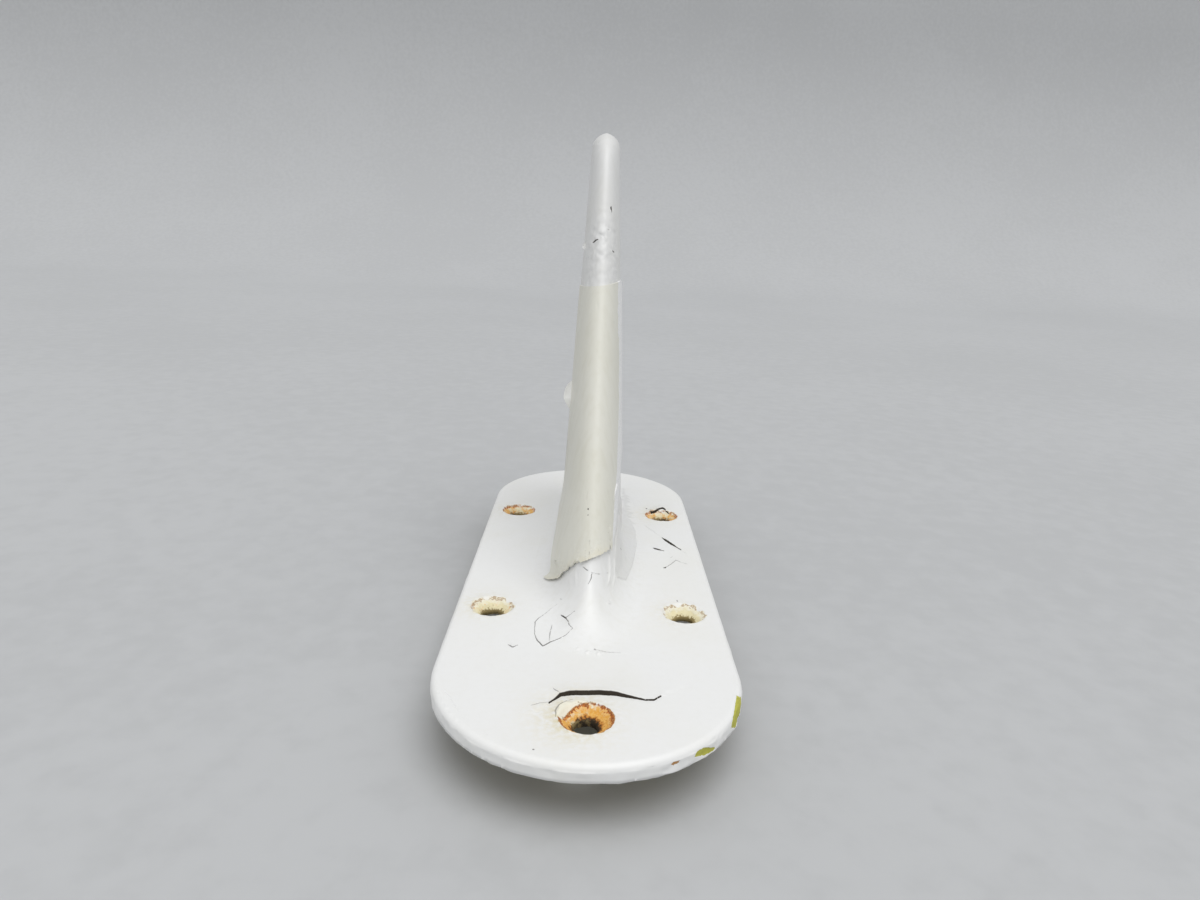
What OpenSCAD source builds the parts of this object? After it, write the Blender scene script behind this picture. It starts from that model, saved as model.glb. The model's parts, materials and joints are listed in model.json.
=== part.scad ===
// Aircraft blade antenna: base plate, hollow blade radome, erosion boot and feed network.
// Z is up from the mounting face and the leading edge faces -Y.
// The origin is the centre of the four side holes.

/* [Base plate] */
// Length of the plate along the airflow
base_l = 183; // [176:1:230]
// Width of the plate across the airflow
base_w = 66; // [62:1:80]
// Thickness of the plate
base_t = 3.5; // [3:0.1:6]
// Rounding of the plate's upper edge
edge_r = 1.5; // [0.5:0.1:2.5]
// How far the plate's outline sits forward of the side holes' centre
outline_forward = 5; // [2:0.5:7]

/* [Mounting holes] */
// Distance between the side holes across the plate
side_pitch_x = 47.6; // [44:0.2:50]
// Distance between the side holes along the plate
side_pitch_y = 71.4; // [60:0.2:84]
// Distance between the two end holes
end_pitch = 153.2; // [150:0.2:160]
// Diameter of a mounting hole
hole_d = 5.2; // [4.4:0.1:5.8]
// Diameter of a countersink at the plate's surface
csk_d = 11; // [9:0.1:12]
// Included angle of a countersink
csk_angle = 100; // [90:5:110]

/* [Blade] */
// Height of the blade above the plate
blade_h = 119.5; // [100:0.5:140]
// Greatest thickness at the root
root_t = 17.8; // [16:0.1:22]
// Greatest thickness at the tip
tip_t = 8.2; // [7:0.1:12]
// Leading edge at the root, forward of the origin
le_root = 45; // [42:0.5:50]
// Leading edge at the tip, aft of the origin
le_tip = 32; // [20:0.5:36]
// Trailing edge at the root, aft of the origin
te_root = 56; // [52:0.5:58]
// Trailing edge at the tip, aft of the origin
te_tip = 63; // [58:0.5:66]
// Place of the greatest thickness, as a share of the chord
peak_at = 0.4; // [0.36:0.01:0.44]
// Trailing edge thickness, as a share of the greatest thickness
te_share = 0.2; // [0.1:0.01:0.3]
// Corner rounding at the front of the tip
tip_front_r = 10; // [8:0.5:12]
// Corner rounding at the rear of the tip
tip_rear_r = 8; // [5:0.5:9]
// Root fillet along the flanks and the trailing edge
fillet_side = 6.5; // [5:0.5:8]
// Root fillet in front of the leading edge
fillet_front = 13; // [9:0.5:15]
// Thickness of the radome's wall
wall = 2; // [1.5:0.1:2.4]
// Solid trailing edge behind the cavity
tail_solid = 12; // [10:0.5:14]

/* [Erosion boot] */
// Thickness of the boot
boot_t = 0.6; // [0.4:0.05:1]
// Height of the boot's upper end above the plate
boot_top = 76.5; // [60:0.5:90]

/* [Connector] */
// Outer diameter of the jack's barrel
jack_d = 9.65; // [9.5:0.05:9.7]
// Inner diameter of the jack's barrel
jack_bore_d = 8.15; // [8:0.05:8.3]
// Length of the barrel below the mounting face
jack_l = 10.6; // [9:0.1:12]
// Distance across the bayonet lugs
lug_span = 11; // [10.6:0.1:11.1]
// Width of the jack's two-hole flange
flange_w = 12.4; // [12:0.1:13]
// Length of the jack's flange along the plate
flange_l = 20.4; // [20:0.1:22]
// Thickness of the jack's flange
flange_t = 1.6; // [1.2:0.1:2]
// Distance from a flange screw to the flange's end
flange_rim = 2.5; // [2.4:0.1:2.8]

/* [Feed network] */
// Thickness of the matching board
board_t = 0.8; // [0.6:0.1:1]
// Height of the matching board
board_h = 20; // [18:0.5:24]
// Thickness of the radiator sheet
sheet_t = 0.5; // [0.3:0.1:0.6]
// Length of a support block
block_l = 10; // [9:0.5:11]
// Width of a support block
block_w = 7; // [6:0.5:7.4]
// Height of a support block
block_h = 13; // [12:0.5:14]
// Wire diameter of the matching coil
coil_wire = 0.7; // [0.5:0.05:0.9]
// Outer diameter of the matching coil
coil_od = 3.6; // [3.2:0.1:4]
// Turns of the matching coil
coil_turns = 5; // [4:1:6]
// Diameter of a trimmer capacitor
trimmer_d = 5; // [4:0.1:5.5]

/* [Hidden] */
$fn = 48;

// Running clearance round pins and in slots
clear = 0.05;
// Share of the plate's thickness that a blind screw enters
screw_grip = 0.7;
// Overshoot of a cut past the surface it opens
cut = 1;

// Outline and holes of the plate
end_y = [-outline_forward - end_pitch / 2, -outline_forward + end_pitch / 2];
csk_depth = (csk_d - hole_d) / 2 / tan(csk_angle / 2);

// Blade grid: points round the nose, the tail and its rounded end, and steps up the blade
nose_n = 14;
tail_n = 5;
tail_end_n = 3;
flank_n = nose_n + tail_n + tail_end_n;
ring_n = 2 * flank_n;
fillet_steps = 10;
shaft_steps = 6;
tip_angles = [0, 18, 36, 47, 57, 66, 74, 81, 86];
te_round = 0.03;
nose_slope = root_t / 2 / (peak_at * (le_root + te_root));
nose_wall = 1.5 * wall;
cavity_fillet = fillet_side - 1.5 * wall;
cavity_top = blade_h - 2.5 * wall;

// Boot grid: columns each side of the leading edge and rows up the blade
boot_n = 11;
boot_rows = 20;
boot_bond = 0.05;
// Torn lower edge from the left flank to the right one: share of the half thickness, height above the plate
boot_tear = [[-0.93, 1.5], [-0.85, 1.8], [-0.34, 11.5], [0.62, 14], [0.93, 33]];
boot_top_rise = 1;

// Jack
panel_hole_d = lug_span + 0.4;
boss_d = lug_span + 0.1;
boss_up = 0.2;
lug_d = 2;
lug_from_mouth = 4.9;
bore_depth = 8.6;
bore_floor_z = bore_depth - jack_l;
flange_top_z = base_t + flange_t;
insulator_d = 4.8;
insulator_core_d = 5.2;
insulator_back = 0.8;
insulator_recess = 0.6;
collar_d = 3.6;
contact_d = 2.1;
socket_d = 1.35;
socket_depth = 5;
contact_back = 1.1;
contact_recess = 0.9;
solder_pin_d = 1.4;
solder_pin_h = 1.2;
flange_pitch = flange_l - 2 * flange_rim;
flange_screw_d = 2.5;
flange_head_d = 4.2;
flange_head_h = 1.5;
flange_screw_l = flange_t + screw_grip * base_t;

// Support blocks and their countersunk screws from below
block_gap = 1.8;
front_block_y = -flange_l / 2 - block_gap - block_l;
rear_block_y = flange_l / 2 + block_gap;
block_screw_d = 3;
block_csk_d = 5.6;
block_csk_h = (block_csk_d - block_screw_d) / 2;
head_sink = 0.1;
slot_z = 6;
block_screw_reach = slot_z - 1;

// Matching board, in the blade's middle plane
board_overhang = 6;
board_y = [front_block_y, rear_block_y + block_l + board_overhang];
board_top = slot_z + board_h;
board_screw_d = 2;
board_screw_short = 1;
board_screw_z = (slot_z + block_h) / 2;
board_head_d = 3.6;
board_head_h = 1.2;

// Radiator sheet on the board's right face
tab_y = [-8, 14];
tab_rise = 10;
tab_low = slot_z + tab_rise;
tab_edge = 2;
radiator_x = board_t / 2;
nose_margin = nose_wall + 4;
tail_margin = tail_solid + 6;
shoulder_rise = 8;
shoulder_z = board_top + shoulder_rise;
tip_gap = 10.5;
radiator_top = blade_h - tip_gap;
rivet_d = 1.6;
rivet_head_d = 3;
rivet_head_h = 0.5;
rivet_z = tab_low + 4;
rivet_y = [for (share = [0.18, 0.5, 0.82]) tab_y[0] + share * (tab_y[1] - tab_y[0])];

// Small parts of the network
coil_z = tab_low - 3;
coil_pitch = 1.5 * coil_wire;
coil_sides = 8;
coil_steps = 14;
trimmer_base_h = 1.6;
trimmer_rotor_d = 0.68 * trimmer_d;
trimmer_rotor_h = 0.7;
trimmer_z = slot_z + trimmer_d / 2 + 1;
trimmer_y = [-0.6 * trimmer_d, 0.6 * trimmer_d];
feed_d = 0.8;
feed_rise = slot_z + 4;
strap_t = 0.4;
strap_w = 5;
strap_edge = 0.3;
strap_y = board_y[1] - strap_w - strap_edge;
strap_rise = slot_z + 6;
strap_foot = 4.6;
ground_screw_d = 2;
ground_head_d = 3.6;
ground_head_h = 1.2;
ground_screw_x = -board_t / 2 - strap_t - 0.2 - ground_head_d / 2;
ground_screw_l = strap_t + screw_grip * base_t;

function mix(a, b, t) = a + (b - a) * t;
function arc_drop(z, top, r) = z > top - r ? r - sqrt(max(0, r * r - pow(z - top + r, 2))) : 0;

// Blade planform and thickness at a height above the plate
function lead_y(z) = mix(-le_root, le_tip, z / blade_h) + arc_drop(z, blade_h, tip_front_r);
function trail_y(z) = mix(te_root, te_tip, z / blade_h) - arc_drop(z, blade_h, tip_rear_r);
function taper_half(z) = mix(root_t, tip_t, z / blade_h) / 2;
function crown(z) = 1 - arc_drop(z, blade_h, tip_t / 2) / (tip_t / 2);

// Section: elliptic nose, parabolic tail and a rounded trailing edge
function nose(u) = sqrt(1 - pow((peak_at - u) / peak_at, 2));
function tail(u) = 1 - (1 - te_share) * pow((u - peak_at) / (1 - peak_at), 2);
function tail_end(u) = u > 1 - te_round ? sqrt(max(0, 1 - pow((u - 1 + te_round) / te_round, 2))) : 1;
function unit_half(u) = u < peak_at ? nose(u) : tail(u) * tail_end(u);

// Places along a flank: even in the skin's direction round the nose, then even along the tail
function nose_turn(i) = atan(nose_slope * tan(90 * sin(90 * i / nose_n)));
function flank_u(i) =
    i < nose_n ? peak_at * (1 - cos(nose_turn(i)))
    : i <= nose_n + tail_n ? mix(peak_at, 1 - te_round, (i - nose_n) / tail_n)
    : 1 - te_round * (1 - sin(90 * (i - nose_n - tail_n) / tail_end_n));
function ring_u(k) = flank_u(k <= flank_n ? k : ring_n - k);
function ring_side(k) = k <= flank_n ? 1 : -1;

// Point k of the section at height z; inset is 0 on the skin and 1 on the cavity
function plan_pt(k, z, inset) =
    let(front = lead_y(z) + inset * nose_wall, back = trail_y(z) - inset * tail_solid, u = ring_u(k))
    [ring_side(k) * unit_half(u) * (taper_half(z) * crown(z) - inset * wall), mix(front, back, u)];
function ring_k(k) = (k + ring_n) % ring_n;
function plan_normal(k, z, inset) =
    let(d = plan_pt(ring_k(k + 1), z, inset) - plan_pt(ring_k(k - 1), z, inset)) [d.y, -d.x] / norm(d);
function fillet_r(k) = mix(fillet_side, fillet_front, pow(max(0, -plan_normal(k, 0, 0).y), 2));

// Skin point with the root fillet, pushed out by lift
function skin_pt(k, z, lift = 0) =
    let(r = fillet_r(k), out = z < r ? r - sqrt(r * r - pow(r - z, 2)) : 0)
    let(p = plan_pt(k, z, 0) + plan_normal(k, z, 0) * (out + lift)) [p.x, p.y, z];
function fillet_ring(turn, inset) = [
    for (k = [0 : ring_n - 1])
        let(r = inset == 0 ? fillet_r(k) : cavity_fillet, z = r * (1 - cos(turn)))
        let(p = plan_pt(k, z, inset) + plan_normal(k, z, inset) * r * (1 - sin(turn))) [p.x, p.y, z]
];
function flat_ring(z, inset) = [for (k = [0 : ring_n - 1]) let(p = plan_pt(k, z, inset)) [p.x, p.y, z]];

// Rings from the root to the tip, on the skin and in the cavity
fillet_turns = [for (i = [0 : fillet_steps]) 90 * i / fillet_steps];
shaft_low = fillet_front + 3;
shaft_high = blade_h - tip_front_r;
shaft_z = [for (i = [0 : shaft_steps - 1]) mix(shaft_low, shaft_high, i / shaft_steps)];
tip_z = [for (turn = tip_angles) shaft_high + tip_front_r * sin(turn)];
skin_rings = concat(
    [for (turn = fillet_turns) fillet_ring(turn, 0)],
    [for (z = concat(shaft_z, tip_z)) flat_ring(z, 0)]
);
cavity_rings = concat(
    [for (turn = [0 : 22.5 : 90]) fillet_ring(turn, 1)],
    [for (z = concat(shaft_z, [shaft_high, cavity_top])) flat_ring(z, 1)]
);

// Side faces between stacked rings; a flipped skin faces inwards
function quad(a, b, c, d, flip) = flip ? [[a, c, b], [a, d, c]] : [[a, b, c], [a, c, d]];
function side_faces(rings, start, flip) = [
    for (i = [0 : rings - 2], k = [0 : ring_n - 1])
        let(a = start + i * ring_n + k, b = start + i * ring_n + (k + 1) % ring_n)
        each quad(a, a + ring_n, b + ring_n, b, flip)
];
function cap_face(start, flip) =
    flip ? [for (k = [0 : ring_n - 1]) start + k] : [for (k = [ring_n - 1 : -1 : 0]) start + k];
function foot_faces(inner) = [
    for (k = [0 : ring_n - 1])
        let(next = (k + 1) % ring_n)
        each quad(k, next, inner + next, inner + k, false)
];

module at_base_top() {
    translate([0, 0, base_t]) children();
}

// Bar along X from a to b, centred on y and z
module cross_pin(d, a, b, y, z) {
    translate([a, y, z]) rotate([0, 90, 0]) cylinder(d = d, h = b - a);
}

// Flat outline in the Y-Z plane, from x = a to x = b
module middle_sheet(a, b) {
    translate([a, 0, 0]) rotate([90, 0, 90]) linear_extrude(b - a) children();
}

module mounting_places() {
    for (x = [-1, 1], y = [-1, 1]) translate([x * side_pitch_x / 2, y * side_pitch_y / 2, 0]) children();
    for (y = end_y) translate([0, y, 0]) children();
}

module flange_places() {
    for (end = [-1, 1]) translate([0, end * flange_pitch / 2, 0]) children();
}

module block_places() {
    for (y = [front_block_y, rear_block_y]) translate([0, y + block_l / 2, 0]) children();
}

module countersunk_hole() {
    translate([0, 0, -cut]) cylinder(d = hole_d, h = base_t + 2 * cut);
    translate([0, 0, base_t - csk_depth])
        cylinder(d1 = hole_d, d2 = csk_d + 2 * cut * tan(csk_angle / 2), h = csk_depth + cut);
}

// Half section of the plate: square foot and rounded shoulder
module plate_section() {
    half = base_w / 2;
    square([half - edge_r, base_t]);
    square([half, base_t - edge_r]);
    translate([half - edge_r, base_t - edge_r]) circle(edge_r);
}

module plate() {
    straight = base_l - base_w;
    translate([0, -outline_forward, 0]) {
        for (end = [-1, 1])
            translate([0, end * straight / 2, 0])
                rotate([0, 0, end < 0 ? 180 : 0]) rotate_extrude(angle = 180) plate_section();
        rotate([90, 0, 0]) linear_extrude(straight, center = true) {
            plate_section();
            mirror([1, 0]) plate_section();
        }
    }
}

module base() {
    color("#F0F0EE") difference() {
        plate();
        mounting_places() countersunk_hole();
        translate([0, 0, -cut]) cylinder(d = panel_hole_d, h = base_t + 2 * cut);
        translate([0, 0, base_t + flange_t - flange_screw_l - clear])
            flange_places() cylinder(d = flange_screw_d + 2 * clear, h = flange_screw_l);
        block_places() {
            translate([0, 0, -cut]) cylinder(d = block_screw_d + 2 * clear, h = base_t + 2 * cut);
            translate([0, 0, -cut])
                cylinder(
                    d1 = block_csk_d + 2 * (cut + head_sink),
                    d2 = block_screw_d,
                    h = block_csk_h + head_sink + cut
                );
        }
        translate([ground_screw_x, strap_y + strap_w / 2, base_t + strap_t - ground_screw_l - clear])
            cylinder(d = ground_screw_d + 2 * clear, h = ground_screw_l);
    }
}

module radome() {
    inner = len(skin_rings) * ring_n;
    color("#EBEBE8") at_base_top()
        polyhedron(
            points = [for (ring = concat(skin_rings, cavity_rings)) each ring],
            faces = concat(
                side_faces(len(skin_rings), 0, false),
                [cap_face(inner - ring_n, false)],
                side_faces(len(cavity_rings), inner, true),
                [cap_face(inner + (len(cavity_rings) - 1) * ring_n, true)],
                foot_faces(inner)
            ),
            convexity = 6
        );
}

// Boot point: column j from the left flank to the right one, row i from the torn edge to the top
function boot_pt(j, i, lift) =
    let(k = ring_k(j), across = ring_side(k) * unit_half(ring_u(k)))
    let(low = lookup(across, boot_tear), high = boot_top + boot_top_rise * across)
    skin_pt(k, mix(low, high, pow(i / boot_rows, 2)), lift);

module leading_edge_boot() {
    columns = 2 * boot_n + 1;
    sheet = columns * (boot_rows + 1);
    last = sheet - columns;
    color("#CCCBC2") at_base_top()
        polyhedron(
            points = [
                for (lift = [boot_bond + boot_t, boot_bond], i = [0 : boot_rows], j = [-boot_n : boot_n])
                    boot_pt(j, i, lift)
            ],
            faces = concat(
                [
                    for (i = [0 : boot_rows - 1], j = [0 : columns - 2], inner = [0, 1])
                        let(a = inner * sheet + i * columns + j)
                        each quad(a, a + columns, a + columns + 1, a + 1, inner == 1)
                ],
                [
                    for (j = [0 : columns - 2], row = [0, last])
                        each quad(row + j, row + j + 1, sheet + row + j + 1, sheet + row + j, row == last)
                ],
                [
                    for (i = [0 : boot_rows - 1], side = [0, columns - 1])
                        let(a = i * columns + side)
                        each quad(a, sheet + a, sheet + a + columns, a + columns, side == columns - 1)
                ]
            ),
            convexity = 4
        );
}

// Block with a slot for the board's lower edge, a cross screw and a screw hole from below
module support_block(y) {
    middle = y + block_l / 2;
    color("#C9A86A") at_base_top() difference() {
        translate([-block_w / 2, y, 0]) cube([block_w, block_l, block_h]);
        translate([-board_t / 2 - clear, y - cut, slot_z])
            cube([board_t + 2 * clear, block_l + 2 * cut, block_h]);
        translate([0, middle, -cut])
            cylinder(d = block_screw_d + 2 * clear, h = block_screw_reach + cut + clear);
        cross_pin(board_screw_d + 2 * clear, -block_w / 2 - cut, block_w / 2 + cut, middle, board_screw_z);
    }
}

module front_block() {
    support_block(front_block_y);
}

module rear_block() {
    support_block(rear_block_y);
}

module block_screws() {
    color("silver") block_places() translate([0, 0, head_sink]) {
        cylinder(d1 = block_csk_d, d2 = block_screw_d, h = block_csk_h);
        cylinder(d = block_screw_d, h = base_t + block_screw_reach - head_sink);
    }
}

module board_outline() {
    polygon([
        [board_y[0], slot_z], [board_y[1], slot_z], [board_y[1], board_top],
        [tab_y[0] - tab_edge, board_top], [board_y[0], block_h]
    ]);
}

module matching_board() {
    color("#3E6B3A") at_base_top() difference() {
        middle_sheet(-board_t / 2, board_t / 2) board_outline();
        for (y = [front_block_y, rear_block_y])
            cross_pin(board_screw_d + 2 * clear, -cut, cut, y + block_l / 2, board_screw_z);
        for (y = rivet_y) cross_pin(rivet_d + 2 * clear, -cut, cut, y, rivet_z);
    }
}

module board_screws() {
    color("silver") at_base_top() for (y = [front_block_y, rear_block_y]) {
        middle = y + block_l / 2;
        side = block_w / 2;
        cross_pin(board_screw_d, board_screw_short - side, side, middle, board_screw_z);
        cross_pin(board_head_d, side, side + board_head_h, middle, board_screw_z);
    }
}

// Sheet that follows the blade's planform above a narrow feed tab
module radiator_outline() {
    polygon([
        [tab_y[0], tab_low], [tab_y[1], tab_low], [tab_y[1], board_top],
        [trail_y(shoulder_z) - tail_margin, shoulder_z],
        [trail_y(radiator_top) - tail_margin, radiator_top],
        [lead_y(radiator_top) + nose_margin, radiator_top],
        [lead_y(shoulder_z) + nose_margin, shoulder_z],
        [tab_y[0], board_top]
    ]);
}

module radiator() {
    color("#C8963C") at_base_top() difference() {
        middle_sheet(radiator_x, radiator_x + sheet_t) radiator_outline();
        for (y = rivet_y)
            cross_pin(rivet_d + 2 * clear, radiator_x - cut, radiator_x + sheet_t + cut, y, rivet_z);
    }
}

module radiator_rivets() {
    left = -board_t / 2;
    right = radiator_x + sheet_t;
    color("#B87F4A") at_base_top() for (y = rivet_y) {
        cross_pin(rivet_d, left - rivet_head_h, right + rivet_head_h, y, rivet_z);
        cross_pin(rivet_head_d, left - rivet_head_h, left, y, rivet_z);
        cross_pin(rivet_head_d, right, right + rivet_head_h, y, rivet_z);
    }
}

// Ring of the coil's wire at a turn angle, round an axis along Y
function coil_ring(turn) =
    let(r = (coil_od - coil_wire) / 2, y = coil_pitch * (turn / 360 - coil_turns / 2))
    [
        for (s = [0 : coil_sides - 1])
            let(a = 360 * s / coil_sides, reach = r + coil_wire / 2 * cos(a))
            [reach * cos(turn), y + coil_wire / 2 * sin(a), reach * sin(turn)]
    ];

module matching_coil() {
    steps = coil_turns * coil_steps;
    color("#B5652B") at_base_top() translate([-board_t / 2 - coil_od / 2, 0, coil_z])
        polyhedron(
            points = [for (i = [0 : steps]) each coil_ring(360 * i / coil_steps)],
            faces = concat(
                [
                    for (i = [0 : steps - 1], s = [0 : coil_sides - 1])
                        let(a = i * coil_sides + s, b = i * coil_sides + (s + 1) % coil_sides)
                        each quad(a, b, b + coil_sides, a + coil_sides, false)
                ],
                [
                    [for (s = [coil_sides - 1 : -1 : 0]) s],
                    [for (s = [0 : coil_sides - 1]) steps * coil_sides + s]
                ]
            ),
            convexity = 10
        );
}

module trimmer_capacitors() {
    face = board_t / 2;
    top = face + trimmer_base_h + trimmer_rotor_h;
    slot = trimmer_rotor_h / 2;
    color("#D9D2C0") at_base_top() for (y = trimmer_y) difference() {
        union() {
            cross_pin(trimmer_d, face, face + trimmer_base_h, y, trimmer_z);
            cross_pin(trimmer_rotor_d, face, top, y, trimmer_z);
        }
        translate([top - slot, y - trimmer_d / 2, trimmer_z - slot / 2]) cube([cut, trimmer_d, slot]);
    }
}

// Bent wire from the contact's pin to the board's left face
module feed_wire() {
    start = flange_t + insulator_back + contact_back + solder_pin_h;
    bend = slot_z - clear - feed_d / 2;
    side = -board_t / 2 - feed_d / 2;
    color("#B5652B") at_base_top() {
        translate([0, 0, start]) cylinder(d = feed_d, h = bend - start);
        translate([0, 0, bend]) sphere(d = feed_d);
        cross_pin(feed_d, side, 0, 0, bend);
        translate([side, 0, bend]) sphere(d = feed_d);
        translate([side, 0, bend]) cylinder(d = feed_d, h = feed_rise - bend);
    }
}

module ground_strap() {
    face = -board_t / 2;
    color("#B87F4A") at_base_top() difference() {
        translate([0, strap_y + strap_w, 0]) rotate([90, 0, 0]) linear_extrude(strap_w)
            polygon([
                [face, 0], [face, strap_rise], [face - strap_t, strap_rise], [face - strap_t, strap_t],
                [face - strap_foot, strap_t], [face - strap_foot, 0]
            ]);
        translate([ground_screw_x, strap_y + strap_w / 2, -cut])
            cylinder(d = ground_screw_d + 2 * clear, h = strap_t + 2 * cut);
    }
}

module ground_screw() {
    color("silver") at_base_top() translate([ground_screw_x, strap_y + strap_w / 2, strap_t]) {
        translate([0, 0, -ground_screw_l]) cylinder(d = ground_screw_d, h = ground_screw_l);
        cylinder(d = ground_head_d, h = ground_head_h);
    }
}

module flange_outline() {
    straight = flange_l - flange_w;
    square([flange_w, straight], center = true);
    for (end = [-1, 1]) translate([0, end * straight / 2]) circle(d = flange_w);
}

module connector_shell() {
    color("#D8D4C8") difference() {
        union() {
            at_base_top() linear_extrude(flange_t) flange_outline();
            translate([0, 0, boss_up]) cylinder(d = boss_d, h = base_t - boss_up);
            translate([0, 0, -jack_l]) cylinder(d = jack_d, h = jack_l + boss_up);
            cross_pin(lug_d, -lug_span / 2, lug_span / 2, 0, lug_from_mouth - jack_l);
        }
        translate([0, 0, -jack_l - cut]) cylinder(d = jack_bore_d, h = bore_depth + cut);
        translate([0, 0, bore_floor_z - cut])
            cylinder(d = insulator_core_d + 2 * clear, h = flange_top_z - bore_floor_z + 2 * cut);
        translate([0, 0, base_t - cut])
            flange_places() cylinder(d = flange_screw_d + 2 * clear, h = flange_t + 2 * cut);
    }
}

module connector_insulator() {
    mouth = insulator_recess - jack_l;
    back = flange_top_z + insulator_back;
    color("white") difference() {
        union() {
            translate([0, 0, mouth]) cylinder(d = insulator_d, h = bore_floor_z - mouth);
            translate([0, 0, bore_floor_z]) cylinder(d = insulator_core_d, h = flange_top_z - bore_floor_z);
            translate([0, 0, flange_top_z]) cylinder(d = collar_d, h = insulator_back);
        }
        translate([0, 0, mouth - cut]) cylinder(d = contact_d + 2 * clear, h = back - mouth + 2 * cut);
    }
}

module connector_contact() {
    mouth = contact_recess - jack_l;
    back = flange_top_z + insulator_back + contact_back;
    color("#C8963C") difference() {
        union() {
            translate([0, 0, mouth]) cylinder(d = contact_d, h = back - mouth);
            translate([0, 0, back]) cylinder(d = solder_pin_d, h = solder_pin_h);
        }
        translate([0, 0, mouth - cut]) cylinder(d = socket_d, h = socket_depth + cut);
    }
}

module connector_screws() {
    color("silver") translate([0, 0, flange_top_z]) flange_places() {
        translate([0, 0, -flange_screw_l]) cylinder(d = flange_screw_d, h = flange_screw_l);
        cylinder(d = flange_head_d, h = flange_head_h);
    }
}

base();
radome();
leading_edge_boot();
front_block();
rear_block();
block_screws();
matching_board();
board_screws();
radiator();
radiator_rivets();
matching_coil();
trimmer_capacitors();
feed_wire();
ground_strap();
ground_screw();
connector_shell();
connector_insulator();
connector_contact();
connector_screws();
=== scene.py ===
"""Finish for an aircraft blade antenna: worn paint, torn erosion boot, plated jack and a plain stage."""

import json
import math
from collections import namedtuple

import bmesh
import bpy
import numpy as np
from bpy.props import FloatProperty, FloatVectorProperty, PointerProperty
from bpy.types import Operator, Panel, PropertyGroup
from mathutils import Euler, Matrix, Vector, noise
from mathutils.bvhtree import BVHTree
from mathutils.kdtree import KDTree


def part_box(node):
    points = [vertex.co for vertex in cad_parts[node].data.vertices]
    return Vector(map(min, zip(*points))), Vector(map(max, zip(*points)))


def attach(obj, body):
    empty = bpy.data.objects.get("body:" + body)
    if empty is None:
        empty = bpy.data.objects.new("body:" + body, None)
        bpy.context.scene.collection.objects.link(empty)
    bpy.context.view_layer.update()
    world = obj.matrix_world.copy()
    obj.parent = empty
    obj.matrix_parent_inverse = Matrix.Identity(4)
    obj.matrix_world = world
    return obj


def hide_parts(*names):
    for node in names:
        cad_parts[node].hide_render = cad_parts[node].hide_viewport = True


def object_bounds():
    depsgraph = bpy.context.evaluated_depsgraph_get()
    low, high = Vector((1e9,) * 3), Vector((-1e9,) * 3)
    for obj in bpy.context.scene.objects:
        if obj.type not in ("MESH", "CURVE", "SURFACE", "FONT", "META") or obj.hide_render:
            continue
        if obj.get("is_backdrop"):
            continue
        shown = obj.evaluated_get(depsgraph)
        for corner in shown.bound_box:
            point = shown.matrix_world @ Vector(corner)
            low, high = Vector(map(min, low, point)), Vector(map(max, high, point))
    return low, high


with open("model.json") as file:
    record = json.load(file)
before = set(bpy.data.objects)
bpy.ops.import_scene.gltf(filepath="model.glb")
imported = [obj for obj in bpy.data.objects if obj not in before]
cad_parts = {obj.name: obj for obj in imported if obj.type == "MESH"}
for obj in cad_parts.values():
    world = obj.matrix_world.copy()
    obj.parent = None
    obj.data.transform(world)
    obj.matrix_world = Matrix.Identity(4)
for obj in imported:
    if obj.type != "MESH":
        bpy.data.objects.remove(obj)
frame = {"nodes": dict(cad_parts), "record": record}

bl_info = {
    "name": "Blade Antenna Finish",
    "version": (1, 0, 0),
    "blender": (4, 5, 0),
    "location": "View3D > Sidebar > Antenna",
    "description": "Worn finish for an aircraft blade antenna",
    "category": "Object",
}

MM = 0.001
MERGE = 1e-6
PHOTO_SIZE = (1200, 900)
SENSOR_WIDTH = 36
SHARP_ANGLE = math.radians(34)
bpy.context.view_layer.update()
# noise_vector takes its seed from the clock unless one is set
noise.seed_set(1)

# Countersunk holes of the plate, from the record's two bolt patterns
MOUNTS = {mount["name"]: mount for mount in frame["record"]["mounts"]}
SIDE_X = MOUNTS["side_holes"]["dims"]["spacing_x_mm"] * MM / 2
SIDE_Y = MOUNTS["side_holes"]["dims"]["spacing_y_mm"] * MM / 2
END_REACH = MOUNTS["end_holes"]["dims"]["spacing_y_mm"] * MM / 2
END_MIDDLE = MOUNTS["end_holes"]["pos_m"][1]
PLATE_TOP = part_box("base")[1].z
COUNTERSINK_R = 5.5 * MM
COUNTERSINK_HALF_ANGLE = math.radians(50)
BORE_R = MOUNTS["side_holes"]["dims"]["hole_r_mm"] * MM
SINK_FLOOR = PLATE_TOP - (COUNTERSINK_R - BORE_R) / math.tan(COUNTERSINK_HALF_ANGLE) - 0.05 * MM

# How worn each hole is: its place, yellowed undercoat, rust, stain of the paint round it, and how far
# the rust draws back and the undercoat spreads on its left
Hole = namedtuple("Hole", "place cream rust stain lean")
HOLES = [
    Hole((0, END_MIDDLE - END_REACH), 0.9, 1.0, 1.0, 0.5),
    Hole((-SIDE_X, -SIDE_Y), 0.95, 0.42, 0.35, 0.0),
    Hole((SIDE_X, -SIDE_Y), 0.9, 0.15, 0.25, 0.0),
    Hole((-SIDE_X, SIDE_Y), 0.9, 0.68, 0.3, 0.0),
    Hole((SIDE_X, SIDE_Y), 0.9, 0.66, 0.4, 0.0),
    Hole((0, END_MIDDLE + END_REACH), 0.8, 0.35, 0.25, 0.0),
]
# The left of a hole with a lean of 1: middle and width of each arc in radians, and what changes there
RIM_ARC, RIM_LOSS = (2.7, 0.8), 2.2 * MM
SPREAD_ARC, SPREAD = (2.3, 0.5), 3.2 * MM
PALE_ARC, PALE_SHARE, PALE_TOP = (2.75, 0.6), 0.9, 0.75
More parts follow.
